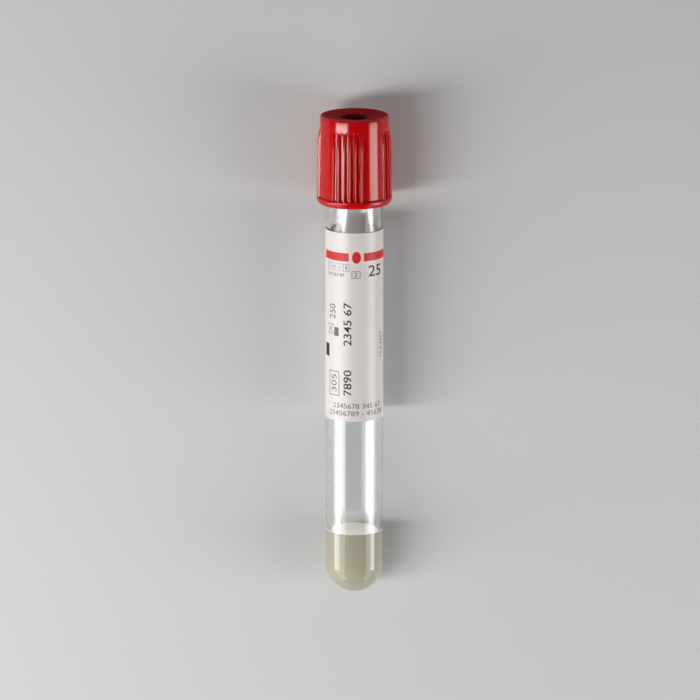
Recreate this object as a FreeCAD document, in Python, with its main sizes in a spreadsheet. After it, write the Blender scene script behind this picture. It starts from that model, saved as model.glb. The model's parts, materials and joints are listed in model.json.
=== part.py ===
import FreeCAD, Part
import Sketcher
import math
import os

from FreeCAD import Placement, Rotation, Vector

# Evacuated blood collection tube, lying on its side as it comes to rest.
# Every piece is drawn upright about its own Z axis, round end at 0 and cap on top, with its
# front towards -Y. One placement then lays all of them down along +Y, with the front up.
doc = FreeCAD.newDocument("blood_collection_tube")

# ---------------------------------------------------------------- driving dimensions
# Lengths are in millimetres and angles in degrees.
driving = [
    # tube
    ("tube_diameter", 13.0, "outside of the tube"),
    ("tube_length", 100.0, "round end to mouth"),
    ("tube_wall", 1.0, "wall at the mouth"),
    ("bore_draft", 0.25, "the bore's radius is this much less at the round end"),
    ("base_wall", 1.15, "wall at the middle of the round end"),
    ("mouth_round", 0.3, "rounding of the mouth's two edges"),
    # separator gel
    ("gel_level", 14.55, "surface of the gel above the round end"),
    ("gel_meniscus", 0.3, "how far the gel climbs the wall"),
    # label
    ("label_start", 41.3, "round end to the label's lower edge"),
    ("label_gap", 5.85, "the label's upper edge to the cap"),
    ("label_thickness", 0.16, "paper, glue and a clear film over the print"),
    ("label_wrap", 300.0, "angle that the label goes round"),
    ("label_corner", 1.2, "rounding of its four corners"),
    # stopper
    ("plug_length", 7.6, "below the mouth"),
    ("plug_clearance", 0.04, "between the seals and the bore, at the plug's foot"),
    ("seal_height", 1.5, "each of the plug's two sealing bands"),
    ("seal_relief", 0.35, "depth of the groove between the bands"),
    ("seat_gap", 0.02, "between the flange and the mouth"),
    ("flange_gap", 0.08, "between the flange and the skirt"),
    ("septum", 3.6, "rubber that the needle goes through"),
    ("plug_side", 2.6, "rubber between the recess and the seals"),
    # cap
    ("cap_clearance", 0.3, "between the tube and the skirt"),
    ("cap_wall", 1.02, "wall of the skirt at the neck"),
    ("cap_height", 20.2, "over all"),
    ("skirt_overlap", 9.15, "how far the skirt hangs below the mouth"),
    ("skirt_lead", 0.35, "bevel inside the skirt's foot"),
    ("snap_bead", 0.14, "bead that keeps the stopper in the cap"),
    ("panel_flare", 0.23, "the skirt's radius grows by this from neck to ledge"),
    ("ring_height", 1.65, "foot to ledge"),
    ("ring_rise", 0.76, "the ring stands out from the neck by this"),
    ("ring_inset", 0.58, "the ring's foot is drawn in by this"),
    ("ring_band", 0.46, "straight part of the ring under the ledge"),
    ("ledge_round", 0.12, "rounding of the ledge"),
    ("rim_round", 0.45, "rounding of the top's rim"),
    ("dish_depth", 0.45, "the top sinks by this towards the well"),
    ("top_wall", 1.5, "thickness of the top at the skirt"),
    ("well_radius", 2.75, "needle well"),
    ("well_funnel", 0.9, "rounding of the well's mouth"),
    ("well_depth", 5.2, "top of the cap to the rubber"),
    ("collar_wall", 1.0, "wall of the collar round the well"),
    # grip: ribs and the flutes between them
    ("rib_groups", 4, "groups round the cap"),
    ("rib_count", 6, "ribs in a group"),
    ("rib_pitch", 9.3, "angle from rib to rib"),
    ("group_turn", -12.0, "angle of the first group from +X"),
    ("crest_drop", 0.05, "crest below the ring at the ledge"),
    ("crest_fall", 0.14, "the crest leans in by this up to the shoulder"),
    ("shoulder_drop", 7.2, "top of the cap to where the ribs' run-out starts"),
    ("runout_radius", 17.0, "curve in which the ribs sink into the neck"),
    ("runout_length", 4.7, "height of that curve"),
    ("flute_width", 0.3, "flat floor of the flutes between the ribs"),
    ("flute_slope", 27.0, "slope of their walls"),
    ("flute_sink", 0.14, "their floors lie this far under the neck's surface"),
    ("flute_curve", 14.0, "curve in which a floor runs out of the neck"),
    ("tip_drop", 1.85, "top of the cap to the flutes' tips"),
]

# ---------------------------------------------------------------- what follows from them
derived = [
    ("tube_radius", "=tube_diameter / 2", "outside, and round end"),
    ("bore_radius", "=tube_radius - tube_wall", "at the mouth"),
    ("base_bore", "=bore_radius - bore_draft", "where the bore meets the round end"),
    ("base_rise", "=tube_radius - base_wall", "height of the bore's round end"),
    ("base_curve", "=(base_rise^2 + base_bore^2) / (2 * base_rise)", "and its radius"),
    ("gel_bore", "=base_bore + bore_draft * (gel_level - tube_radius) / (tube_length - tube_radius)",
     "bore at the gel's surface"),
    ("foot_bore", "=bore_radius - bore_draft * plug_length / (tube_length - tube_radius)",
     "bore at the plug's foot"),
    ("plug_radius", "=foot_bore - plug_clearance", "seals of the plug"),
    ("plug_foot", "=tube_length - plug_length", ""),
    ("skirt_radius", "=tube_radius + cap_clearance", "inside of the skirt"),
    ("neck_radius", "=skirt_radius + cap_wall", "outside of the neck"),
    ("ring_radius", "=neck_radius + ring_rise", ""),
    ("cap_foot", "=tube_length - skirt_overlap", ""),
    ("label_height", "=cap_foot - label_gap - label_start", "along the tube"),
    ("cap_top", "=cap_foot + cap_height", ""),
    ("ledge_level", "=cap_foot + ring_height", ""),
    ("ring_level", "=ledge_level - ring_band", "widest part of the ring"),
    ("foot_curve", "=((ring_level - cap_foot)^2 + ring_inset^2) / (2 * ring_inset)",
     "radius of the ring's rounded foot"),
    ("head_top", "=cap_top - well_depth", "top of the rubber"),
    ("flange_level", "=tube_length + seat_gap", ""),
    ("recess_radius", "=plug_radius - plug_side", "hollow under the septum"),
    ("crest_start", "=ring_radius - crest_drop", "crest's radius at the ledge"),
    ("shoulder_level", "=cap_top - shoulder_drop", ""),
    ("crest_lean", "=atan(crest_fall / (shoulder_level - ledge_level))", ""),
    ("shoulder_radius", "=crest_start - crest_fall", "crest's radius at the shoulder"),
    ("runout_end", "=shoulder_radius - runout_radius * cos(crest_lean)"
     " + sqrt(runout_radius^2 - (runout_length + runout_radius * sin(crest_lean))^2)",
     "radius where the ribs' curve ends inside the neck"),
    ("flute_floor", "=neck_radius - flute_sink", ""),
    ("tip_level", "=cap_top - tip_drop", ""),
    ("flute_level", "=tip_level - sqrt(flute_sink * (2 * flute_curve - flute_sink))",
     "where a floor starts to run out"),
    ("grip_root", "=flute_floor - cap_wall / 5", "the groups are joined inside the wall up to here"),
    ("grip_inside", "=skirt_radius + cap_wall / 5", ""),
    ("resting_span", "=ring_level - tube_radius", "between the two places that touch the table"),
    ("resting_tilt", "=asin(ring_radius / sqrt(resting_span^2 + ring_radius^2))"
     " - asin(tube_radius / sqrt(resting_span^2 + ring_radius^2))", "the axis climbs to the cap"),
    ("resting_length", "=tube_radius + (cap_top - rim_round - tube_radius) * cos(resting_tilt)"
     " + (neck_radius - rim_round) * sin(resting_tilt) + rim_round", "over all, as it lies"),
]

sheet = doc.addObject("Spreadsheet::Sheet", "Sizes")
for row, (alias, content, note) in enumerate(driving + derived, start=1):
    sheet.set(f"A{row}", alias)
    sheet.set(f"B{row}", str(content))
    sheet.setAlias(f"B{row}", alias)
    sheet.set(f"C{row}", note)
doc.recompute()


def value(expression):
    """The plain number that an expression on the sheet comes to."""
    result = sheet.evalExpression(expression)
    return getattr(result, "Value", result)


def on_sheet(expression):
    """The same expression, as an object other than the sheet has to write it."""
    names = sorted((alias for alias, content, note in driving + derived), key=len, reverse=True)
    words = []
    word = ""
    for letter in expression + " ":
        if letter.isalnum() or letter == "_":
            word += letter
            continue
        words.append(f"Sizes.{word}" if word in names else word)
        words.append(letter)
        word = ""
    return "".join(words).strip()


def bind(thing, prop, expression):
    thing.setExpression(prop, on_sheet(expression))


# ---------------------------------------------------------------- sketches and features
def origin_feature(body, role):
    return next(one for one in body.Origin.OriginFeatures if one.Role == role)


def new_body(label):
    body = doc.addObject("PartDesign::Body", label)
    body.Label = label
    return body


def new_sketch(body, name, plane="XZ_Plane", turn="0", level="0"):
    """An empty sketch on an origin plane, turned about the Z axis and lifted along it."""
    sketch = body.newObject("Sketcher::SketchObject", name)
    sketch.AttachmentSupport = (origin_feature(body, plane), [""])
    sketch.MapMode = "FlatFace"
    if plane == "XZ_Plane":
        axis, lift = Vector(0, 1, 0), "AttachmentOffset.Base.y"
    else:
        axis, lift = Vector(0, 0, 1), "AttachmentOffset.Base.z"
    sketch.AttachmentOffset = Placement(Vector(0, 0, 0), Rotation(axis, 1))
    bind(sketch, "AttachmentOffset.Rotation.Angle", f"({turn}) * 1 deg")
    bind(sketch, lift, level)
    return sketch


def constrain(sketch, kind, *places, size=None):
    """Add a constraint, and bind its size to the sheet where it has one."""
    if size is None:
        return sketch.addConstraint(Sketcher.Constraint(kind, *places))
    index = sketch.addConstraint(Sketcher.Constraint(kind, *places, value(size)))
    bind(sketch, f"Constraints[{index}]", size)
    return index


def place_point(sketch, side, end, across, up):
    """Hold a side's end at a place that is worked out from the sheet."""
    for kind, axis, size in (("DistanceX", -2, across), ("DistanceY", -1, up)):
        if abs(value(size)) < 1e-9:
            constrain(sketch, "PointOnObject", side, end, axis)
        else:
            constrain(sketch, kind, -1, 1, side, end, size=size)


def arc_between(start, end, radius):
    """The smaller arc from start to end: a positive radius turns anticlockwise."""
    chord = end - start
    across = Vector(-chord.y, chord.x, 0).normalize()
    reach = math.sqrt(max(radius ** 2 - (chord.Length / 2) ** 2, 0))
    centre = (start + end) / 2 + across * math.copysign(reach, radius)
    first, last = (start, end) if radius > 0 else (end, start)
    angles = [math.atan2(point.y - centre.y, point.x - centre.x) for point in (first, last)]
    if angles[1] < angles[0]:
        angles[1] += 2 * math.pi
    return Part.ArcOfCircle(Part.Circle(centre, Vector(0, 0, 1), abs(radius)), *angles)


def outline(sketch, steps, closed=True):
    """Draw a profile through corners that the sheet places.

    A step is (across, up), reached by a straight side, or (across, up, radius), reached by
    an arc. An arc with a positive radius turns anticlockwise.
    """
    corners = [Vector(value(step[0]), value(step[1]), 0) for step in steps]
    sides = range(0 if closed else 1, len(steps))
    ends = []
    for index in sides:
        start, end = corners[index - 1], corners[index]
        if len(steps[index]) == 2:
            side = sketch.addGeometry(Part.LineSegment(start, end))
            ends.append((side, 1, 2))
        else:
            radius = value(steps[index][2])
            side = sketch.addGeometry(arc_between(start, end, radius))
            constrain(sketch, "Radius", side, size=steps[index][2].lstrip("-"))
            ends.append((side, 1, 2) if radius > 0 else (side, 2, 1))
    for index, (side, first, last) in zip(sides, ends):
        place_point(sketch, side, last, steps[index][0], steps[index][1])
    if not closed:
        place_point(sketch, ends[0][0], ends[0][1], steps[0][0], steps[0][1])
    followers = ends[1:] + ends[:1] if closed else ends[1:]
    for before, after in zip(ends, followers):
        constrain(sketch, "Coincident", before[0], before[2], after[0], after[1])
    return sketch


def revolve(body, sketch, angle="360"):
    turned = body.newObject("PartDesign::Revolution", f"{sketch.Name}_turned")
    turned.Profile = sketch
    turned.ReferenceAxis = (sketch, ["V_Axis"])
    turned.Midplane = True
    bind(turned, "Angle", f"({angle}) * 1 deg")
    return turned


def lay_down(body):
    """Lay a body along +Y, front up, resting on its round end and on the cap's ring."""
    bind(body, "Placement", "create(<<placement>>;"
         " create(<<vector>>; 0; tube_radius - resting_length / 2"
         " - tube_radius * cos(resting_tilt); tube_radius - tube_radius * sin(resting_tilt));"
         " create(<<rotation>>; create(<<vector>>; 1; 0; 0); resting_tilt - 90 deg))")


# ---------------------------------------------------------------- tube
def make_tube():
    """Clear plastic tube with a drafted bore, a hemispherical end and a rounded mouth."""
    body = new_body("tube")
    sketch = new_sketch(body, "tube_wall_profile")
    outline(sketch, [
        ("0", "0"),
        ("tube_radius", "tube_radius", "tube_radius"),
        ("tube_radius", "tube_length - mouth_round"),
        ("tube_radius - mouth_round", "tube_length", "mouth_round"),
        ("bore_radius + mouth_round", "tube_length"),
        ("bore_radius", "tube_length - mouth_round", "mouth_round"),
        ("base_bore", "tube_radius"),
        ("0", "base_wall", "-base_curve"),
    ])
    revolve(body, sketch)
    return body


# ---------------------------------------------------------------- separator gel
def make_gel():
    """Gel that fills the round end, with a low meniscus where it wets the wall."""
    body = new_body("separator_gel")
    sketch = new_sketch(body, "gel_profile")
    outline(sketch, [
        ("0", "base_wall"),
        ("base_bore", "tube_radius", "base_curve"),
        ("gel_bore", "gel_level + gel_meniscus"),
        ("gel_bore - 3 * gel_meniscus", "gel_level", "-5 * gel_meniscus"),
        ("0", "gel_level"),
    ])
    revolve(body, sketch)
    return body


# ---------------------------------------------------------------- label
def make_label():
    """Paper label stuck round the tube, with a clear strip left open at the back."""
    body = new_body("label")
    sketch = new_sketch(body, "label_section", turn="-90")
    outline(sketch, [
        ("tube_radius", "label_start"),
        ("tube_radius + label_thickness", "label_start"),
        ("tube_radius + label_thickness", "label_start + label_height"),
        ("tube_radius", "label_start + label_height"),
    ])
    sheet_round = revolve(body, sketch, "label_wrap")
    doc.recompute()
    corners = [f"Edge{number}" for number, edge in enumerate(sheet_round.Shape.Edges, start=1)
               if edge.Length < 2 * value("label_thickness")]
    rounding = body.newObject("PartDesign::Fillet", "label_corners")
    rounding.Base = (sheet_round, corners)
    bind(rounding, "Radius", "label_corner")
    doc.recompute()
    if len(corners) != 4 or rounding.Shape.Volume >= sheet_round.Shape.Volume:
        raise RuntimeError("the label's corners aren't rounded")
    return body


# ---------------------------------------------------------------- stopper
def make_stopper():
    """Rubber stopper: a plug with two sealing bands, a flange on the mouth and a septum."""
    body = new_body("stopper")
    sketch = new_sketch(body, "stopper_profile")
    groove_foot = "plug_foot + 2 * seal_height"
    groove_top = "tube_length - seal_height"
    outline(sketch, [
        ("recess_radius + seal_relief", "plug_foot"),
        ("plug_radius - seal_height / 2", "plug_foot"),
        ("plug_radius", "plug_foot + seal_height / 2", "seal_height / 2"),
        ("plug_radius", groove_foot),
        ("plug_radius - seal_relief", groove_foot + " + seal_relief"),
        ("plug_radius - seal_relief", groove_top + " - seal_relief"),
        ("plug_radius", groove_top),
        ("plug_radius", "flange_level"),
        ("skirt_radius - flange_gap", "flange_level"),
        ("skirt_radius - flange_gap", "head_top"),
        ("0", "head_top"),
        ("0", "head_top - septum"),
        ("recess_radius", "head_top - septum - recess_radius / 2",
         "-(recess_radius / 4 + recess_radius)"),
        ("recess_radius", "plug_foot + seal_relief"),
    ])
    revolve(body, sketch)
    return body


# ---------------------------------------------------------------- cap
def draw_cap_wall(body):
    """Half section of the cap: skirt, ring, neck, dished top, needle well and collar."""
    sketch = new_sketch(body, "cap_wall_profile")
    well_edge = "cap_top - dish_depth"
    ceiling = "cap_top - top_wall"
    bead_top = "flange_level - snap_bead / 2"
    return outline(sketch, [
        ("skirt_radius + skirt_lead", "cap_foot"),
        ("ring_radius - ring_inset", "cap_foot"),
        ("ring_radius", "ring_level", "foot_curve"),
        ("ring_radius", "ledge_level - ledge_round"),
        ("ring_radius - ledge_round", "ledge_level", "ledge_round"),
        ("neck_radius + panel_flare", "ledge_level"),
        ("neck_radius", "shoulder_level + runout_length"),
        ("neck_radius", "cap_top - rim_round"),
        ("neck_radius - rim_round", "cap_top", "rim_round"),
        ("well_radius + well_funnel", well_edge),
        ("well_radius", well_edge + " - well_funnel", "well_funnel"),
        ("well_radius", "head_top"),
        ("well_radius + collar_wall", "head_top"),
        ("well_radius + collar_wall", ceiling),
        ("skirt_radius", ceiling),
        ("skirt_radius", bead_top),
        ("skirt_radius - snap_bead", bead_top + " - snap_bead"),
        ("skirt_radius", bead_top + " - 3 * snap_bead"),
        ("skirt_radius", "cap_foot + skirt_lead"),
    ])


def draw_grip(body):
    """Half section of the ribs before the flutes are cut: crest, shoulder, curve into the neck."""
    sketch = new_sketch(body, "grip_profile")
    run_out = "shoulder_level + runout_length"
    return outline(sketch, [
        ("grip_inside", "ring_level"),
        ("crest_start + ring_band * tan(crest_lean)", "ring_level"),
        ("shoulder_radius", "shoulder_level"),
        ("runout_end", run_out, "runout_radius"),
        ("grip_inside", run_out),
    ])


def draw_panel_cut(body, turn):
    """What is cut out of the grip between two groups of ribs."""
    sketch = new_sketch(body, "panel_cut", turn=turn)
    above = "shoulder_level + 2 * runout_length"
    return outline(sketch, [
        ("grip_root", "cap_foot"),
        ("ring_radius + ring_rise", "cap_foot"),
        ("ring_radius + ring_rise", above),
        ("grip_root", above),
    ])


def draw_flute_path(body, name, turn):
    """Floor of a flute: up from the ledge, then in a curve out through the neck."""
    sketch = new_sketch(body, f"{name}_path", turn=turn)
    rise = "sqrt(4 * flute_sink * (flute_curve - flute_sink))"
    return outline(sketch, [
        ("flute_floor", "ledge_level"),
        ("flute_floor", "flute_level"),
        ("neck_radius + flute_sink", f"flute_level + {rise}", "-flute_curve"),
    ], closed=False)


def draw_flute_section(body, name, turn):
    """Section of a flute at the ledge: flat floor and two sloping walls, open outwards."""
    sketch = new_sketch(body, f"{name}_section", "XY_Plane", turn=turn, level="ledge_level")
    reach = "ring_radius + ring_rise"
    half = f"flute_width / 2 + ({reach} - flute_floor) * tan(flute_slope * 1 deg)"
    return outline(sketch, [
        ("flute_floor", "-flute_width / 2"),
        (reach, f"-({half})"),
        (reach, half),
        ("flute_floor", "flute_width / 2"),
    ])


def repeat(body, feature, name, turns):
    """Repeat a feature about the Z axis: each of the turns is an angle and a number of places."""
    patterns = []
    for step, (angle, places) in enumerate(turns, start=1):
        pattern = doc.addObject("PartDesign::PolarPattern", f"{name}_turn{step}")
        body.addObject(pattern)
        pattern.Axis = (origin_feature(body, "Z_Axis"), [""])
        bind(pattern, "Angle", f"({angle}) * 1 deg")
        bind(pattern, "Occurrences", places)
        patterns.append(pattern)
    repeated = body.newObject("PartDesign::MultiTransform", name)
    repeated.Originals = [feature]
    repeated.Transformations = patterns
    body.Tip = repeated
    doc.recompute()
    return repeated


def cut_flutes(body, name, start, span, places):
    """Cut a row of flutes into each group, the first of them at the angle start."""
    flute = body.newObject("PartDesign::SubtractivePipe", name)
    flute.Profile = draw_flute_section(body, name, start)
    flute.Spine = draw_flute_path(body, name, start)
    doc.recompute()
    return repeat(body, flute, f"{name}_groups", [(span, places), ("360", "rib_groups")])


def make_cap():
    """Ribbed safety cap: a turned shell with groups of ribs, which are what flutes leave of it."""
    body = new_body("cap")
    grip = revolve(body, draw_grip(body))
    doc.recompute()
    panel = body.newObject("PartDesign::Groove", "panel")
    panel.Profile = draw_panel_cut(body, "group_turn + 180 / rib_groups")
    panel.ReferenceAxis = (panel.Profile[0], ["V_Axis"])
    panel.Midplane = True
    bind(panel, "Angle", "(360 / rib_groups - rib_pitch * rib_count) * 1 deg")
    doc.recompute()
    panels = repeat(body, panel, "panels", [("360", "rib_groups")])
    sides = cut_flutes(body, "side_flute", "group_turn - rib_pitch * rib_count / 2",
                       "rib_pitch * rib_count", "2")
    shell = revolve(body, draw_cap_wall(body))
    doc.recompute()
    flutes = cut_flutes(body, "flute", "group_turn - rib_pitch * (rib_count - 2) / 2",
                        "rib_pitch * (rib_count - 2)", "rib_count - 1")
    sizes = [feature.Shape.Volume for feature in (grip, panels, sides)]
    if sizes != sorted(sizes, reverse=True) or flutes.Shape.Volume > shell.Shape.Volume * 0.995:
        raise RuntimeError("a cut is missing from the cap's grip")
    return body


# ---------------------------------------------------------------- build, check and write
pieces = [make_tube(), make_label(), make_gel(), make_stopper(), make_cap()]
for piece in pieces:
    lay_down(piece)
doc.recompute()

for thing in doc.Objects:
    if "Invalid" in thing.State or "Error" in thing.State:
        raise RuntimeError(f"{thing.Name} failed: {thing.State}")
for piece in pieces:
    if piece.Shape.isNull() or not piece.Shape.isValid():
        raise RuntimeError(f"{piece.Label} has no valid solid")

os.makedirs("parts", exist_ok=True)
for piece in pieces:
    piece.Shape.exportStep(f"parts/{piece.Label}.step")
    box = piece.Shape.BoundBox
    print(f"{piece.Label}: {piece.Shape.Volume:.1f} mm3, {len(piece.Shape.Solids)} solid, "
          f"y {box.YMin:.2f} to {box.YMax:.2f}, z {box.ZMin:.2f} to {box.ZMax:.2f}")
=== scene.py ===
import json
import math
import bpy
import bmesh
from mathutils import Matrix, Vector


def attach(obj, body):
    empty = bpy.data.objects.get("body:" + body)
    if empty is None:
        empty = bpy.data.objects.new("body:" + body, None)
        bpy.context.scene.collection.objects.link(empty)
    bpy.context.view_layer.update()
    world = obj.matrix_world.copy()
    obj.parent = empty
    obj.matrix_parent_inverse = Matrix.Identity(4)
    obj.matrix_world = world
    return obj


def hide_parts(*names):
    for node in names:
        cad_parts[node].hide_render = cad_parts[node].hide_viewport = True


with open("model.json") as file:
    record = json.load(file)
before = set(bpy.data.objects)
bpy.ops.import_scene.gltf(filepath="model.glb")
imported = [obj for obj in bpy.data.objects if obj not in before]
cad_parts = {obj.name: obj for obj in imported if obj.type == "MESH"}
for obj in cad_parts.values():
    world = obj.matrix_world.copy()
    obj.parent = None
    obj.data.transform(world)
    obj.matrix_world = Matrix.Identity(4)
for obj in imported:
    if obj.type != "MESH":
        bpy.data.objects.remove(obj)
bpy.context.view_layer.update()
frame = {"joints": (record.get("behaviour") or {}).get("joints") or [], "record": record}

# Every piece is made upright in millimetres, round end at 0 and print at -Y, and is then laid down
# as the tube lies.
mm = 0.001  # of a metre
wellLevel = 107.775  # middle of the needle well, up from the round end
well = [mount for mount in frame["record"]["mounts"] if mount["name"] == "needle_well"][0]
alongTube = Vector(frame["joints"][0]["axis"]).normalized()
upFromTube = Vector((1, 0, 0)).cross(alongTube)
roundEnd = Vector(well["pos_m"]) - alongTube * wellLevel * mm
lean = math.atan2(alongTube.y, alongTube.z)
layDown = Matrix.Translation(roundEnd) @ Matrix.Rotation(-lean, 4, "X") @ Matrix.Scale(mm, 4)


# shader trees
class Wire:
    # one output socket; an expression on it adds Math nodes to its tree
    def __init__(self, tree, socket):
        self.tree = tree
        self.socket = socket

    def math(self, operation, *values):
        return self.tree.add("ShaderNodeMath", {"operation": operation}, dict(enumerate(values)))

    def __add__(self, other):
        return self.math("ADD", self, other)

    def __radd__(self, other):
        return self.math("ADD", other, self)

    def __sub__(self, other):
        return self.math("SUBTRACT", self, other)

    def __rsub__(self, other):
        return self.math("SUBTRACT", other, self)

    def __mul__(self, other):
        return self.math("MULTIPLY", self, other)

    def __rmul__(self, other):
        return self.math("MULTIPLY", other, self)

    def __truediv__(self, other):
        return self.math("DIVIDE", self, other)


class ShaderTree:
    def __init__(self, owner):
        owner.use_nodes = True
        self.nodes = owner.node_tree.nodes
        self.links = owner.node_tree.links
        self.nodes.clear()

    def add(self, kind, settings=None, sockets=None, output=0):
        node = self.nodes.new(kind)
        for name, value in (settings or {}).items():
            setattr(node, name, value)
        for name, value in (sockets or {}).items():
            if isinstance(value, Wire):
                self.links.new(value.socket, node.inputs[name])
            else:
                node.inputs[name].default_value = value
        return Wire(self, node.outputs[output]) if len(node.outputs) else None

    def vector(self, operation, first, second, output=0):
        return self.add("ShaderNodeVectorMath", {"operation": operation}, {0: first, 1: second}, output)

    def place(self):
        return self.add("ShaderNodeTexCoord", output=3)  # object coordinates

    def noise(self, vector, scale, detail=2.0, roughness=0.5):
        return self.add("ShaderNodeTexNoise", None,
                        {"Vector": vector, "Scale": scale, "Detail": detail, "Roughness": roughness})

    def stretched(self, vector, factors):
        return self.add("ShaderNodeMapping", None, {"Vector": vector, "Scale": factors})

    def level(self, place):
        # height of a place above the tube's round end, in mm
        along = self.vector("DOT_PRODUCT", place, alongTube, 1)
        return (along - roundEnd.dot(alongTube)) / mm

    def distance(self, place):
        # distance of a place from the tube's axis, in mm
        aside = self.vector("SUBTRACT", place, roundEnd)
        turned = self.vector("CROSS_PRODUCT", aside, alongTube)
        return self.vector("LENGTH", turned, (0, 0, 0), 1) / mm

    def clamped(self, value):
        return self.add("ShaderNodeClamp", None, {"Value": value})

    def between(self, mask, span):
        # goes from one end of a span to the other with a mask
        low, high = span
        return mask * (high - low) + low

    def blend(self, factor, first, second):
        # 6 and 7 are the node's two colour sockets
        return self.add("ShaderNodeMix", {"data_type": "RGBA"}, {0: factor, 6: first, 7: second}, 2)

    def bump(self, height, distance):
        return self.add("ShaderNodeBump", None, {"Height": height, "Distance": distance, "Strength": 1.0})

    def surface(self, shader):
        self.add("ShaderNodeOutputMaterial", None, {"Surface": shader})


def newMaterial(name):
    material = bpy.data.materials.new(name)
    return material, ShaderTree(material)


# mesh helpers
nearness = {"merge": 1e-4, "collapse": 1e-5, "cut": 1e-6}  # in mm
standUp = Matrix.Rotation(math.pi / 2, 3, "X")  # from flat in XY to flat in XZ
upwards = Matrix.Rotation(-math.pi / 2, 3, "Y")  # from across to up the tube


def addCorner(mesh, out, level):
    return mesh.verts.new((out, 0, level))


def addRun(mesh, last, out, level, parts=1):
    # straight run of a profile, in equal parts
    step = (Vector((out, 0, level)) - last.co) / parts
    for part in range(parts):
        made = bmesh.ops.extrude_vert_indiv(mesh, verts=[last])
        last = made["verts"][0]
        bmesh.ops.translate(mesh, verts=[last], vec=step)
    return last


def addArc(mesh, last, centre, degrees, parts):
    # arc of a profile about (out, level); anticlockwise is plus
    made = bmesh.ops.spin(mesh, geom=[last], cent=(centre[0], 0, centre[1]), axis=(0, -1, 0),
                          angle=math.radians(degrees), steps=parts)
    return [v for v in made["geom_last"] if isinstance(v, bmesh.types.BMVert)][0]


def closeProfile(mesh, first, last):
    mesh.edges.new((first, last))


def turnProfile(mesh, steps):
    # full turn of a profile round the tube's axis
    bmesh.ops.remove_doubles(mesh, verts=mesh.verts, dist=nearness["merge"])
    bmesh.ops.spin(mesh, geom=mesh.verts[:] + mesh.edges[:], cent=(0, 0, 0), axis=(0, 0, 1),
                   angle=math.tau, steps=steps, use_merge=True)
    bmesh.ops.remove_doubles(mesh, verts=mesh.verts, dist=nearness["merge"])
    bmesh.ops.dissolve_degenerate(mesh, edges=mesh.edges, dist=nearness["collapse"])
    bmesh.ops.recalc_face_normals(mesh, faces=mesh.faces)


def finishPiece(mesh, name, material, body, node=None, sharp=35):
    # lays the piece down, smooths it up to its sharp edges and hands it to its body
    bmesh.ops.transform(mesh, matrix=layDown, verts=mesh.verts)
    mesh.normal_update()
    for face in mesh.faces:
        face.smooth = True
    for edge in mesh.edges:
        if len(edge.link_faces) == 2:
            edge.smooth = edge.calc_face_angle(0) < math.radians(sharp)
    data = bpy.data.meshes.new(name)
    mesh.to_mesh(data)
    mesh.free()
    data.materials.append(material)
    piece = bpy.data.objects.new(name, data)
    bpy.context.scene.collection.objects.link(piece)
    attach(piece, body)
    if node:
        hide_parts(node)
    print(name, len(data.polygons), "faces")


# clear barrel
barrel = {
    "radius": 6.5,
    "length": 100.0,
    "wall": 1.0,
    "draft": 0.25,  # the bore narrows by this to the round end
    "base": 1.15,
    "mouth": 0.3,
    "lift": 0.002,  # keeps the round end inside the CAD box
    "steps": 288,
    "tint": (0.98, 0.985, 0.985, 1),
    "shadowTint": (0.94, 0.945, 0.945, 1),
    "ior": 1.57,
    "hazeScale": 160,
    "hazeStretch": (1, 0.25, 1),
    "roughness": (0.015, 0.065),
}


def clearPlastic():
    material, tree = newMaterial("clearPlastic")
    place = tree.place()
    haze = tree.noise(tree.stretched(place, barrel["hazeStretch"]), barrel["hazeScale"], detail=3)
    glass = tree.add("ShaderNodeBsdfPrincipled", None, {
        "Base Color": barrel["tint"], "Roughness": tree.between(haze, barrel["roughness"]),
        "IOR": barrel["ior"], "Transmission Weight": 1.0})
    through = tree.add("ShaderNodeBsdfTransparent", None, {"Color": barrel["shadowTint"]})
    shadow = tree.add("ShaderNodeLightPath", output=1)  # these two let light through to what is inside
    diffuse = tree.add("ShaderNodeLightPath", output=2)
    tree.surface(tree.add("ShaderNodeMixShader", None, {0: shadow + diffuse, 1: glass, 2: through}))
    return material


def makeBarrel():
    radius, top, mouth = barrel["radius"], barrel["length"], barrel["mouth"]
    bore = radius - barrel["wall"]
    foot = bore - barrel["draft"]
    rise = radius - barrel["base"]
    inside = (rise ** 2 + foot ** 2) / (2 * rise)  # curve of the bore's round end
    sweep = math.degrees(math.asin(foot / inside))
    mesh = bmesh.new()
    first = addCorner(mesh, 0, barrel["lift"])
    last = addArc(mesh, first, (0, radius + barrel["lift"]), 90, parts=40)
    last = addRun(mesh, last, radius, top - mouth, parts=12)
    last = addArc(mesh, last, (radius - mouth, top - mouth), 90, parts=6)
    last = addRun(mesh, last, bore + mouth, top)
    last = addArc(mesh, last, (bore + mouth, top - mouth), 90, parts=6)
    last = addRun(mesh, last, foot, radius, parts=12)
    last = addArc(mesh, last, (0, barrel["base"] + inside), -sweep, parts=36)
    last.co.x = 0
    turnProfile(mesh, barrel["steps"])
    finishPiece(mesh, "clear_barrel", clearPlastic(), "tube_body", "tube")


# separator gel
gel = {
    "level": 14.55,
    "meniscus": 0.14,
    # its curve from the wall: inwards and up, as shares of its height
    "meniscusCurve": [(0.25, 0.62), (0.9, 0.26), (1.9, 0.06), (3.4, 0)],
    "grip": 0.02,  # sits this far into the barrel, so that no air shows between them
    "steps": 192,
    "colour": (0.38, 0.355, 0.265, 1),
    "cloud": (0.44, 0.415, 0.315, 1),
    "paintedLightTop": (0.96, 0.945, 0.85, 1),  # painted light: paler at its top face
    "skinDepth": 0.1,
    "glow": (0.22, 0.206, 0.158, 1),  # stands in for the light that the plastic leads to the top face
    "cloudScale": 260,
    "grainScale": 1400,
    "roughness": (0.6, 0.7),
    "skinGloss": 0.4,  # the top face is this much less rough
    "specular": 0.4,
    "scatter": (1.0, 0.97, 0.85),
    "scatterDepth": 0.012,
    "bumpDepth": 0.0001,
}


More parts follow.
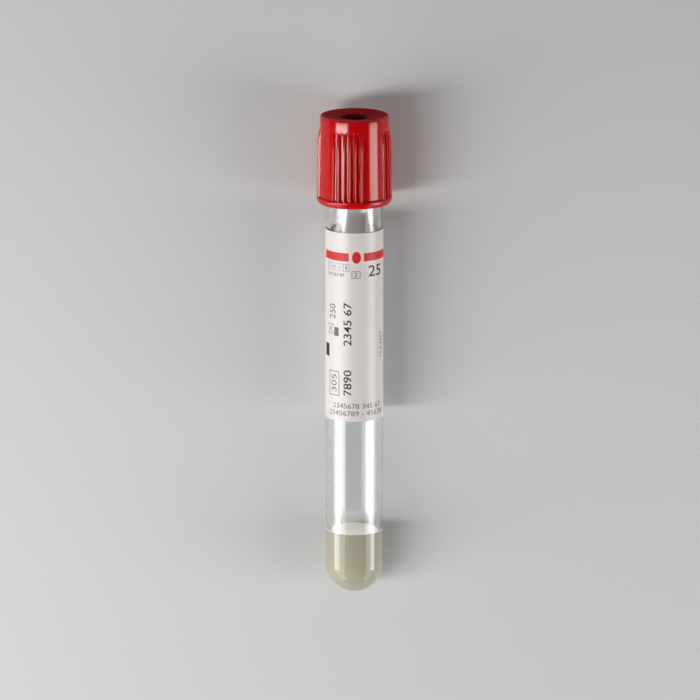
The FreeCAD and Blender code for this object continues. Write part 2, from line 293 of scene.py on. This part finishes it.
def gelMaterial():
    material, tree = newMaterial("separatorGel")
    place = tree.place()
    cloud = tree.noise(place, gel["cloudScale"], detail=4)
    grain = tree.noise(place, gel["grainScale"])
    # the top face gets painted light, a paler colour and a glow, and is also less rough
    top = tree.clamped((tree.level(place) - gel["level"]) / gel["skinDepth"] + 1)
    body = tree.blend(cloud, gel["colour"], gel["cloud"])
    tree.surface(tree.add("ShaderNodeBsdfPrincipled", None, {
        "Base Color": tree.blend(top, body, gel["paintedLightTop"]),
        "Roughness": tree.between(grain, gel["roughness"]) - top * gel["skinGloss"],
        "Specular IOR Level": gel["specular"], "Subsurface Weight": 1.0,
        "Subsurface Radius": gel["scatter"], "Subsurface Scale": gel["scatterDepth"],
        "Emission Color": tree.blend(top, (0, 0, 0, 1), gel["glow"]), "Emission Strength": 1.0,
        "Normal": tree.bump(cloud, gel["bumpDepth"])}))
    return material


def makeGel():
    radius = barrel["radius"]
    rise = radius - barrel["base"]
    foot = radius - barrel["wall"] - barrel["draft"]
    inside = (rise ** 2 + foot ** 2) / (2 * rise) + gel["grip"]
    side = foot + gel["grip"]
    lift = gel["meniscus"]
    mesh = bmesh.new()
    last = addCorner(mesh, 0, barrel["base"] - gel["grip"])
    sweep = math.degrees(math.asin(side / inside))
    last = addArc(mesh, last, (0, barrel["base"] - gel["grip"] + inside), sweep, parts=36)
    slant = barrel["draft"] * (gel["level"] - radius) / (barrel["length"] - radius)
    last = addRun(mesh, last, side + slant, gel["level"] + lift, parts=4)
    for inwards, up in gel["meniscusCurve"]:
        last = addRun(mesh, last, side + slant - inwards * lift, gel["level"] + up * lift)
    addRun(mesh, last, 0, gel["level"], parts=3)
    turnProfile(mesh, gel["steps"])
    finishPiece(mesh, "gel_fill", gelMaterial(), "tube_body", "separator_gel", sharp=60)


# label
label = {
    "start": 41.3,
    "height": 43.7,
    "thickness": 0.08,
    "wrap": 300.0,
    "corner": 1.2,
    "strip": 0.4,  # width of the strips that it is bent in
    "sink": 0.01,  # so far into what it lies on, so that no gap shows
    "paper": (0.79, 0.735, 0.71, 1),
    "fibre": (0.83, 0.785, 0.765, 1),
    "fibreScale": 2600,
    "waveScale": 220,
    "waveStretch": (1, 0.3, 1),
    "roughness": (0.28, 0.38),
    "fibreShare": 0.3,  # of the bump, beside the wave
    "bumpDepth": 0.00003,
}


def paperMaterial():
    material, tree = newMaterial("labelPaper")
    place = tree.place()
    fibre = tree.noise(place, label["fibreScale"], detail=4, roughness=0.6)
    wave = tree.noise(tree.stretched(place, label["waveStretch"]), label["waveScale"])
    tree.surface(tree.add("ShaderNodeBsdfPrincipled", None, {
        "Base Color": tree.blend(fibre, label["paper"], label["fibre"]),
        "Roughness": tree.between(fibre, label["roughness"]),
        "Normal": tree.bump(fibre * label["fibreShare"] + wave, label["bumpDepth"])}))
    return material


def bendRound(mesh, radius):
    # bends a flat sheet round the barrel: its X runs round from the front, its Z up, its Y outwards
    for vert in mesh.verts:
        turn = vert.co.x / radius
        out = radius + vert.co.y
        vert.co.x = out * math.sin(turn)
        vert.co.y = -out * math.cos(turn)


def cutInStrips(mesh, width):
    reach = max(abs(v.co.x) for v in mesh.verts)
    count = int(reach / width) + 1
    for strip in range(-count, count + 1):
        everything = mesh.verts[:] + mesh.edges[:] + mesh.faces[:]
        bmesh.ops.bisect_plane(mesh, geom=everything, dist=nearness["cut"],
                               plane_co=(strip * width, 0, 0), plane_no=(1, 0, 0))


def sheetOutline(mesh, width, height, corner=0):
    # flat sheet in XZ, centred on X = 0 and standing on Z = 0
    made = bmesh.ops.create_grid(mesh, x_segments=1, y_segments=1, size=0.5)
    verts = made["verts"]
    bmesh.ops.scale(mesh, verts=verts, vec=(width, height, 1))
    bmesh.ops.rotate(mesh, verts=verts, cent=(0, 0, 0), matrix=standUp)
    bmesh.ops.translate(mesh, verts=verts, vec=(0, 0, height / 2))
    if corner:
        bmesh.ops.bevel(mesh, geom=verts, offset=corner, offset_type="OFFSET", affect="VERTICES",
                        segments=6, profile=0.5, material=-1)


def thicken(mesh, inner, outer):
    # gives a flat sheet in XZ its thickness, from Y = inner to Y = outer (both outwards)
    faces = mesh.faces[:]
    bmesh.ops.translate(mesh, verts=mesh.verts, vec=(0, inner, 0))
    made = bmesh.ops.extrude_face_region(mesh, geom=faces, use_keep_orig=True)
    raised = [v for v in made["geom"] if isinstance(v, bmesh.types.BMVert)]
    bmesh.ops.translate(mesh, verts=raised, vec=(0, outer - inner, 0))
    bmesh.ops.recalc_face_normals(mesh, faces=mesh.faces)


def makeLabel():
    radius = barrel["radius"]
    width = math.radians(label["wrap"]) * radius
    mesh = bmesh.new()
    sheetOutline(mesh, width, label["height"], label["corner"])
    cutInStrips(mesh, label["strip"])
    bmesh.ops.translate(mesh, verts=mesh.verts, vec=(0, 0, label["start"]))
    thicken(mesh, -label["sink"], label["thickness"])
    bendRound(mesh, radius)
    bmesh.ops.recalc_face_normals(mesh, faces=mesh.faces)
    finishPiece(mesh, "wrapped_label", paperMaterial(), "tube_body", "label", sharp=40)


# print on the label: fields, frames and plain numbers, across from the front and up the tube
printed = {
    "inks": {"red": (0.66, 0.022, 0.022, 1), "black": (0.012, 0.012, 0.013, 1),
             "grey": (0.14, 0.135, 0.13, 1), "pale": (0.33, 0.32, 0.31, 1)},
    "film": 0.012,  # stands this far proud of the paper
    "bold": 0.006,  # thickens the black digits, as a share of their height
    "strip": 0.3,
    # ink, middle across and up, width, height
    "fields": [
        ("red", -5.0, 79.45, 7.45, 1.9),
        ("red", 5.9, 79.45, 7.4, 1.9),
        ("black", -7.65, 57.4, 1.75, 2.95),
        ("grey", -4.4, 62.0, 1.25, 2.0),
    ],
    "dots": [
        ("red", 0.48, 79.4, 2.05, 2.75),
    ],
    # the same and the line's width
    "frames": [
        ("pale", -4.35, 77.05, 6.35, 1.7, 0.14),
        ("grey", -1.9, 77.05, 1.45, 1.7, 0.13),
        ("grey", 0.38, 75.45, 2.0, 1.65, 0.18),
        ("grey", -5.15, 49.95, 3.1, 5.7, 0.24),
    ],
    # the same and whether it points down
    "arrows": [
        ("grey", -6.25, 61.85, 2.4, 1.7, 0.26, False),
        ("grey", -6.25, 63.2, 2.4, 1.7, 0.26, True),
    ],
    # ink, digits, foot of the first one across and up, height, length, and whether they read up the tube
    "numbers": [
        ("black", "2345 67", -0.66, 58.95, 1.88, 10.0, True),
        ("black", "7890", -0.66, 47.3, 1.88, 5.95, True),
        ("black", "25", 3.3, 74.85, 2.6, 3.9, False),
        ("grey", "250", -4.65, 64.9, 1.9, 3.4, True),
        ("grey", "305", -4.35, 48.0, 1.6, 4.0, True),
        ("grey", "2", -0.1, 74.95, 1.0, 0.85, False),
        ("grey", "1", -2.05, 76.6, 0.9, 0.3, False),
        ("pale", "12 345 67", -7.2, 76.65, 0.8, 4.2, False),
        ("grey", "234 567 89", -7.3, 74.9, 0.75, 4.9, False),
        ("grey", "12.3 4567", 7.85, 55.8, 1.05, 5.8, True),
        ("grey", "2345678 345 67", -5.3, 44.3, 1.15, 12.2, False),
        ("grey", "23456789 - 45678", -6.6, 42.6, 1.15, 14.2, False),
    ],
    "grainScale": 5200,
    "roughness": (0.3, 0.4),
    "specular": 0.2,
    "thin": (1.25, 0.012),  # thin ink is this many times lighter, and this much more
}


def inkMaterial(name, colour):
    material, tree = newMaterial(name)
    place = tree.place()
    grain = tree.noise(place, printed["grainScale"], detail=3, roughness=0.6)
    times, more = printed["thin"]
    thin = tuple(channel * times + more for channel in colour[:3]) + (1,)
    tree.surface(tree.add("ShaderNodeBsdfPrincipled", None, {
        "Base Color": tree.blend(grain, colour, thin),
        "Roughness": tree.between(grain, printed["roughness"]),
        "Specular IOR Level": printed["specular"]}))
    return material


def newMark(width, height):
    mesh = bmesh.new()
    sheetOutline(mesh, width, height)
    bmesh.ops.translate(mesh, verts=mesh.verts, vec=(0, 0, -height / 2))
    return mesh


def addTo(whole, mesh, around, level):
    # moves a mark to its place on the flat paper and adds it to the whole print
    bmesh.ops.translate(mesh, verts=mesh.verts, vec=(around, 0, level))
    data = bpy.data.meshes.new("mark")
    mesh.to_mesh(data)
    mesh.free()
    whole.from_mesh(data)
    bpy.data.meshes.remove(data)


def numberMark(text, height, length, bold):
    # plain digits on the flat, standing on Z = 0 and starting at X = 0
    curve = bpy.data.curves.new("digits", "FONT")
    curve.body = text
    curve.fill_mode = "FRONT"
    curve.resolution_u = 4
    curve.offset = bold
    holder = bpy.data.objects.new("digits", curve)
    data = bpy.data.meshes.new_from_object(holder)
    mesh = bmesh.new()
    mesh.from_mesh(data)
    bpy.data.objects.remove(holder)
    bpy.data.curves.remove(curve)
    bpy.data.meshes.remove(data)
    low = Vector([min(vert.co[axis] for vert in mesh.verts) for axis in range(3)])
    high = Vector([max(vert.co[axis] for vert in mesh.verts) for axis in range(3)])
    size = high - low
    bmesh.ops.translate(mesh, verts=mesh.verts, vec=-low)
    bmesh.ops.scale(mesh, verts=mesh.verts, vec=(length / size.x, height / size.y, 1))
    bmesh.ops.rotate(mesh, verts=mesh.verts, cent=(0, 0, 0), matrix=standUp)
    return mesh


def outlined(mesh, line):
    # leaves only a line of this width along the edge of a flat mark
    made = bmesh.ops.inset_region(mesh, faces=mesh.faces[:], thickness=line, use_boundary=True)
    inner = [face for face in mesh.faces if face not in made["faces"]]
    bmesh.ops.delete(mesh, geom=inner, context="FACES")
    return mesh


def roundMark(width, height, sides):
    mesh = bmesh.new()
    bmesh.ops.create_circle(mesh, cap_ends=True, segments=sides, radius=0.5)
    bmesh.ops.rotate(mesh, verts=mesh.verts, cent=(0, 0, 0), matrix=standUp)
    bmesh.ops.scale(mesh, verts=mesh.verts, vec=(width, 1, height))
    return mesh


def printLayer(name, whole, material):
    cutInStrips(whole, printed["strip"])
    thicken(whole, -label["sink"], printed["film"])
    bendRound(whole, barrel["radius"] + label["thickness"])
    bmesh.ops.recalc_face_normals(whole, faces=whole.faces)
    finishPiece(whole, name, material, "tube_body", sharp=40)


def makePrint():
    layers = {ink: bmesh.new() for ink in printed["inks"]}
    for ink, across, level, width, height in printed["fields"]:
        addTo(layers[ink], newMark(width, height), across, level)
    for ink, across, level, width, height in printed["dots"]:
        addTo(layers[ink], roundMark(width, height, sides=48), across, level)
    for ink, across, level, width, height, line in printed["frames"]:
        addTo(layers[ink], outlined(newMark(width, height), line), across, level)
    for ink, across, level, width, height, line, down in printed["arrows"]:
        mark = roundMark(width, -height if down else height, sides=3)
        bmesh.ops.recalc_face_normals(mark, faces=mark.faces)
        addTo(layers[ink], outlined(mark, line), across, level)
    for ink, text, across, level, height, length, upward in printed["numbers"]:
        digits = numberMark(text, height, length, printed["bold"] if ink == "black" else 0)
        if upward:
            bmesh.ops.rotate(digits, verts=digits.verts, cent=(0, 0, 0), matrix=upwards)
        addTo(layers[ink], digits, across, level)
    for ink, mesh in layers.items():
        printLayer(ink + "_print", mesh, inkMaterial(ink + "Ink", printed["inks"][ink]))


# rubber stopper
stopper = {
    "foot": 92.4,
    "plug": 5.4397,
    "seal": 1.5,
    "relief": 0.35,
    "recess": 2.8397,
    "flange": 6.72,
    "flangeLevel": 100.02,
    "head": 105.85,
    "septum": 3.6,
    "steps": 144,
    "colour": (0.035, 0.034, 0.034, 1),
    "worn": (0.06, 0.058, 0.057, 1),
    # crown of the hollow under the septum: outwards and down, as shares of the hollow's radius
    "crown": [(0.55, 0.12), (0.87, 0.3), (1, 0.5)],
    "grainScale": 3000,
    "cloudScale": 300,
    "roughness": (0.5, 0.7),
    "specular": 0.4,
    "bumpDepth": 0.00004,
}


def rubberMaterial():
    material, tree = newMaterial("darkRubber")
    place = tree.place()
    grain = tree.noise(place, stopper["grainScale"], detail=4, roughness=0.6)
    cloud = tree.noise(place, stopper["cloudScale"])
    tree.surface(tree.add("ShaderNodeBsdfPrincipled", None, {
        "Base Color": tree.blend(cloud, stopper["colour"], stopper["worn"]),
        "Roughness": tree.between(grain, stopper["roughness"]), "Specular IOR Level": stopper["specular"],
        "Normal": tree.bump(grain, stopper["bumpDepth"])}))
    return material


def makeStopper():
    foot, head, recess = stopper["foot"], stopper["head"], stopper["recess"]
    plug, seal, relief = stopper["plug"], stopper["seal"], stopper["relief"]
    ceiling = head - stopper["septum"]
    mesh = bmesh.new()
    first = addCorner(mesh, recess + relief, foot)
    last = addRun(mesh, first, plug - seal / 2, foot)
    last = addArc(mesh, last, (plug - seal / 2, foot + seal / 2), 90, parts=8)
    last = addRun(mesh, last, plug, foot + 2 * seal)
    last = addRun(mesh, last, plug - relief, foot + 2 * seal + relief)
    last = addRun(mesh, last, plug - relief, barrel["length"] - seal - relief)
    last = addRun(mesh, last, plug, barrel["length"] - seal)
    last = addRun(mesh, last, plug, stopper["flangeLevel"])
    last = addRun(mesh, last, stopper["flange"], stopper["flangeLevel"])
    last = addRun(mesh, last, stopper["flange"], head)
    addRun(mesh, last, 0, head, parts=3)
    last = addCorner(mesh, 0, ceiling)
    for outwards, down in stopper["crown"]:
        last = addRun(mesh, last, recess * outwards, ceiling - recess * down)
    last = addRun(mesh, last, recess, foot + relief)
    closeProfile(mesh, first, last)
    turnProfile(mesh, stopper["steps"])
    finishPiece(mesh, "rubber_stopper", rubberMaterial(), "closure", "stopper")


# red cap
cap = {
    "foot": 90.85,
    "top": 111.047,
    "skirt": 6.8,
    "lead": 0.35,
    "neck": 7.82,
    "flare": 0.23,
    "ring": 8.573,
    "ringLevel": 92.04,
    "ringInset": 0.58,
    "ledge": 92.5,
    "ledgeRound": 0.28,
    "fillet": 0.22,  # softens the corner over the ledge
    "rimRound": 0.45,
    "dish": 0.45,
    "wall": 1.5,
    "well": 2.75,
    "funnel": 0.9,
    "collar": 1.0,
    "bead": 0.14,
    "steps": 960,
    "colour": (0.6, 0.0006, 0.0018, 1),
    "deep": (0.54, 0.0004, 0.0014, 1),
    "face": (0.44, 0.0004, 0.0012, 1),  # dull top, painted darker than the side as shade
    "shade": (0.12, 0.0003, 0.0006, 1),  # painted shade down in the well
    "wellShade": 0.8,  # share of that shade at the bottom
    "matteEdge": 0.2,  # width of the change from the glossy side to the dull top
    "cloudScale": 180,
    "grainScale": 3600,
    "roughness": (0.11, 0.16),
    "ior": 1.42,
    "bumpDepth": 0.000003,
    "faceRoughness": (0.7, 0.8),
    "faceSpecular": 0.1,
}
grip = {
    "groups": 4,
    "ribs": 6,  # in a group
    "pitch": 9.3,
    "turn": -12.0,  # middle of the group nearest the print, from the front
    "crest": 8.53,  # radius of the crests at the ledge
    "crestFall": 0.14,
    "shoulder": 103.85,
    "shoulderCurve": 17.0,
    "runout": 4.7,  # length of that curve
    "floor": 0.15,  # half the width of a flute's flat floor
    "wallSlope": 27.0,
    "sink": 0.14,  # the floors lie this far under the neck
    "fluteCurve": 6.0,  # in which they run out of the neck
    "tip": 108.5,
    "tipRow": 0.1,  # a row of faces over the tips, so that their shading ends there
    "edge": 0.16,  # rounding of the crests
    "edgeTaper": 0.3,  # and what is left of it for each mm under the tips
    "edgeLeast": 0.001,
    "root": 0.02,
}


def redPlastic():
    material, tree = newMaterial("redPlastic")
    place = tree.place()
    cloud = tree.noise(place, cap["cloudScale"])
    grain = tree.noise(place, cap["grainScale"], detail=3, roughness=0.6)
    out = tree.distance(place)
    # mask of the painted shade down in the well
    inWell = tree.clamped(cap["well"] + cap["funnel"] - out)
    matteAndShadedTop = tree.clamped((cap["neck"] - cap["rimRound"] - out) / cap["matteEdge"] + 0.5)
    body = tree.blend(cloud, cap["deep"], cap["colour"])
    shine = tree.add("ShaderNodeBsdfPrincipled", None, {
        "Base Color": body, "Roughness": tree.between(grain, cap["roughness"]), "IOR": cap["ior"],
        "Normal": tree.bump(grain, cap["bumpDepth"])})
    # the dull top's colour is painted shade: darker than the side, and darker still down in the well
    dullAndShaded = tree.add("ShaderNodeBsdfPrincipled", None, {
        "Base Color": tree.blend(inWell * cap["wellShade"], cap["face"], cap["shade"]),
        "Roughness": tree.between(grain, cap["faceRoughness"]),
        "Specular IOR Level": cap["faceSpecular"]})
    tree.surface(tree.add("ShaderNodeMixShader", None, {0: matteAndShadedTop, 1: shine, 2: dullAndShaded}))
    return material


def crestOut(level):
    # radius of a crest: it leans in up to the shoulder and then curves down into the neck
    lean = grip["crestFall"] / (grip["shoulder"] - cap["ledge"])
    past = max(level - grip["shoulder"], 0)
    return grip["crest"] - lean * (level - cap["ledge"]) - past ** 2 / (2 * grip["shoulderCurve"])


def panelOut(level):
    # radius of the bare panels between the groups
    flareTop = grip["shoulder"] + grip["runout"]
    return cap["neck"] + cap["flare"] * max(flareTop - level, 0) / (flareTop - cap["ledge"])


def roundedLess(first, second, width):
    # the smaller of two radii, with the edge between them rounded
    near = max(width - abs(first - second), 0)
    return min(first, second) - near ** 2 / (4 * width)


def roundedMore(first, second, width):
    near = max(width - abs(first - second), 0)
    return max(first, second) + near ** 2 / (4 * width)


def fluteOut(away, level):
    # radius of a flute's floor and walls, at this angle from its middle
    runout = math.sqrt(2 * grip["fluteCurve"] * grip["sink"])
    past = max(level - grip["tip"] + runout, 0)
    floor = cap["neck"] - grip["sink"] + past ** 2 / (2 * grip["fluteCurve"])
    slope = math.tan(math.radians(grip["wallSlope"]))
    closing = slope * math.cos(away) - math.sin(away)
    wall = (floor * slope - grip["floor"]) / max(closing, 0.01)
    return roundedMore(floor / math.cos(away), wall, grip["root"])


def gripOut(turn, level):
    # radius of the cap's grip at this angle from the front
    share = 360 / grip["groups"]
    away = abs((turn - grip["turn"] + share / 2) % share - share / 2)
    place = away / grip["pitch"]
    last = grip["ribs"] // 2
    panel = panelOut(level)
    if place >= last:
        return panel
    out = max(crestOut(level), panel)
    edge = min(grip["edge"], max((grip["tip"] - level) * grip["edgeTaper"], grip["edgeLeast"]))
    for flute in range(round(place) - 1, round(place) + 2):
        if abs(flute) < last:
            aside = math.radians(abs(place - flute) * grip["pitch"])
            out = roundedLess(out, fluteOut(aside, level), edge)
    side = fluteOut(math.radians((last - place) * grip["pitch"]), level)
    return max(roundedLess(out, side, edge), panel) if place > last - 1 else out


def raiseGrip(mesh):
    # moves the skirt and the ledge's inner edge out or in to the grip
    slack = 0.01
    low = cap["ledge"] - cap["ledgeRound"]
    for vert in mesh.verts:
        out = math.hypot(vert.co.x, vert.co.y)
        if out > cap["neck"] - slack and low < vert.co.z < grip["tip"]:
            raised = gripOut(math.degrees(math.atan2(vert.co.x, -vert.co.y)), vert.co.z)
            if out < cap["neck"] + cap["flare"] + slack or raised > out:
                vert.co.x *= raised / out
                vert.co.y *= raised / out
    bmesh.ops.remove_doubles(mesh, verts=mesh.verts, dist=nearness["merge"])


def makeCap():
    sweep = 2 * math.degrees(math.atan2(cap["ringInset"], cap["ringLevel"] - cap["foot"]))
    curve = ((cap["ringLevel"] - cap["foot"]) ** 2 + cap["ringInset"] ** 2) / (2 * cap["ringInset"])
    mesh = bmesh.new()
    first = addCorner(mesh, cap["skirt"] + cap["lead"], cap["foot"])
    last = addRun(mesh, first, cap["ring"] - cap["ringInset"], cap["foot"])
    last = addArc(mesh, last, (cap["ring"] - curve, cap["ringLevel"]), sweep, parts=8)
    lip = cap["ledge"] - cap["ledgeRound"]
    last = addRun(mesh, last, cap["ring"], lip)
    last = addArc(mesh, last, (cap["ring"] - cap["ledgeRound"], lip), 90, parts=5)
    foot = panelOut(cap["ledge"])
    last = addRun(mesh, last, foot + cap["fillet"], cap["ledge"])
    last = addArc(mesh, last, (foot + cap["fillet"], cap["ledge"] + cap["fillet"]), -90, parts=6)
    last = addRun(mesh, last, panelOut(grip["shoulder"]), grip["shoulder"], parts=6)
    last = addRun(mesh, last, cap["neck"], grip["tip"], parts=40)
    last = addRun(mesh, last, cap["neck"], grip["tip"] + grip["tipRow"])
    last = addRun(mesh, last, cap["neck"], cap["top"] - cap["rimRound"])
    last = addArc(mesh, last, (cap["neck"] - cap["rimRound"], cap["top"] - cap["rimRound"]), 90, parts=8)
    last = addRun(mesh, last, cap["well"] + cap["funnel"], cap["top"] - cap["dish"], parts=2)
    throat = cap["top"] - cap["dish"] - cap["funnel"]
    last = addArc(mesh, last, (cap["well"] + cap["funnel"], throat), 90, parts=8)
    last = addRun(mesh, last, cap["well"], stopper["head"])
    last = addRun(mesh, last, cap["well"] + cap["collar"], stopper["head"])
    last = addRun(mesh, last, cap["well"] + cap["collar"], cap["top"] - cap["wall"])
    last = addRun(mesh, last, cap["skirt"], cap["top"] - cap["wall"])
    beadTop = stopper["flangeLevel"] - cap["bead"] / 2
    last = addRun(mesh, last, cap["skirt"], beadTop)
    last = addRun(mesh, last, cap["skirt"] - cap["bead"], beadTop - cap["bead"])
    last = addRun(mesh, last, cap["skirt"], beadTop - 3 * cap["bead"])
    last = addRun(mesh, last, cap["skirt"], cap["foot"] + cap["lead"])
    closeProfile(mesh, first, last)
    turnProfile(mesh, cap["steps"])
    raiseGrip(mesh)
    bmesh.ops.recalc_face_normals(mesh, faces=mesh.faces)
    finishPiece(mesh, "ribbed_cap", redPlastic(), "closure", "cap", sharp=50)


# floor, lamps and camera
studio = {
    "floor": (0.7, 0.7, 0.695, 1),
    "floorReach": 6.0,
    "world": 0.06,
    "lampDistance": 0.5,
    # soft boxes beside the tube: each spans these angles round it from straight above, the right as
    # plus, and this stretch along it from its middle, the round end as minus
    "lamps": [
        {"name": "leftHeadBox", "angles": (-63, -23), "stretch": (-0.078, -0.01), "light": 16.5},
        {"name": "rightHeadBox", "angles": (52, 81), "stretch": (-0.078, -0.01), "light": 8.3},
        {"name": "leftBox", "angles": (-89, -62), "stretch": (-0.235, -0.078), "light": 6.3},
        {"name": "leftSoftBox", "angles": (-62, -38), "stretch": (-0.235, -0.078), "light": 2.1},
        {"name": "rightSoftBox", "angles": (49, 68), "stretch": (-0.235, -0.078), "light": 2.4},
        {"name": "rightBox", "angles": (68, 89), "stretch": (-0.235, -0.078), "light": 6.4},
        {"name": "leftEndBox", "angles": (-84, -44), "stretch": (-0.85, -0.235), "light": 1.9},
        {"name": "rightEndBox", "angles": (50, 84), "stretch": (-0.85, -0.235), "light": 1.6},
    ],
    # soft boxes over the two ends, out of sight of the cap's gloss
    "fills": [
        {"name": "footBox", "tilt": -52, "light": 0.08, "distance": 0.8, "size": 0.8},
        {"name": "headBox", "tilt": 50, "light": 0.2, "distance": 0.8, "size": 0.8},
    ],
    "lookAt": 55.0,
    "aside": (-0.99, 1.44),
    "height": 1.7,
    "tilt": 13.4,
    "lens": 384.8,
    "sensor": 36,
    "sight": 20,
}


def atLevel(level):
    return roundEnd + alongTube * level * mm


def makeFloor():
    mesh = bmesh.new()
    bmesh.ops.create_grid(mesh, x_segments=1, y_segments=1, size=studio["floorReach"])
    data = bpy.data.meshes.new("floor")
    mesh.to_mesh(data)
    mesh.free()
    floor = bpy.data.objects.new("floor", data)
    bpy.context.scene.collection.objects.link(floor)
    material, tree = newMaterial("floorPaint")
    tree.surface(tree.add("ShaderNodeBsdfDiffuse", None, {"Color": studio["floor"]}))
    data.materials.append(material)


def addLamp(name, shape, place, out, size, light):
    # flat lamp that faces back along "out"; light is its radiance
    data = bpy.data.lights.new(name, "AREA")
    data.shape = shape
    data.size, data.size_y = size
    data.energy = light * math.pi * size[0] * size[1]
    holder = bpy.data.objects.new(name, data)
    bpy.context.scene.collection.objects.link(holder)
    right = Vector((0, 1, 0)).cross(out).normalized()
    turned = Matrix((right, out.cross(right), out)).transposed().to_4x4()
    holder.matrix_world = Matrix.Translation(place) @ turned


def makeLamps():
    middle = atLevel(studio["lookAt"])
    for lamp in studio["lamps"]:
        low, high = [math.radians(angle) for angle in lamp["angles"]]
        foot, head = lamp["stretch"]
        turn = (low + high) / 2
        out = Vector((1, 0, 0)) * math.sin(turn) + upFromTube * math.cos(turn)
        place = middle + out * studio["lampDistance"] + alongTube * (foot + head) / 2
        width = 2 * studio["lampDistance"] * math.tan((high - low) / 2)
        addLamp(lamp["name"], "RECTANGLE", place, out, (width, head - foot), lamp["light"])
    for fill in studio["fills"]:
        tilt = math.radians(fill["tilt"])
        out = upFromTube * math.cos(tilt) + alongTube * math.sin(tilt)
        place = middle + out * fill["distance"]
        addLamp(fill["name"], "ELLIPSE", place, out, (fill["size"], fill["size"]), fill["light"])
    world = bpy.data.worlds.new("studio")
    bpy.context.scene.world = world
    tree = ShaderTree(world)
    level = studio["world"]
    sky = tree.add("ShaderNodeBackground", None, {"Color": (level, level, level, 1)})
    tree.add("ShaderNodeOutputWorld", None, {"Surface": sky})


def makeCamera():
    tilt = math.radians(studio["tilt"])
    back = upFromTube * math.cos(tilt) + alongTube * math.sin(tilt)
    right = Vector((1, 0, 0))
    up = back.cross(right)
    target = atLevel(studio["lookAt"]) + (right * studio["aside"][0] + up * studio["aside"][1]) * mm
    data = bpy.data.cameras.new("camera")
    data.lens = studio["lens"]
    data.sensor_width = studio["sensor"]
    data.clip_end = studio["sight"]
    holder = bpy.data.objects.new("camera", data)
    bpy.context.scene.collection.objects.link(holder)
    turned = Matrix((right, up, back)).transposed().to_4x4()
    holder.matrix_world = Matrix.Translation(target + back * studio["height"]) @ turned
    bpy.context.scene.camera = holder


makeBarrel()
makeGel()
makeLabel()
makePrint()
makeStopper()
makeCap()
makeFloor()
makeLamps()
makeCamera()
print("floor,", len(studio["lamps"]) + len(studio["fills"]), "lamps and the camera")
bpy.context.scene.view_settings.view_transform = "Standard"
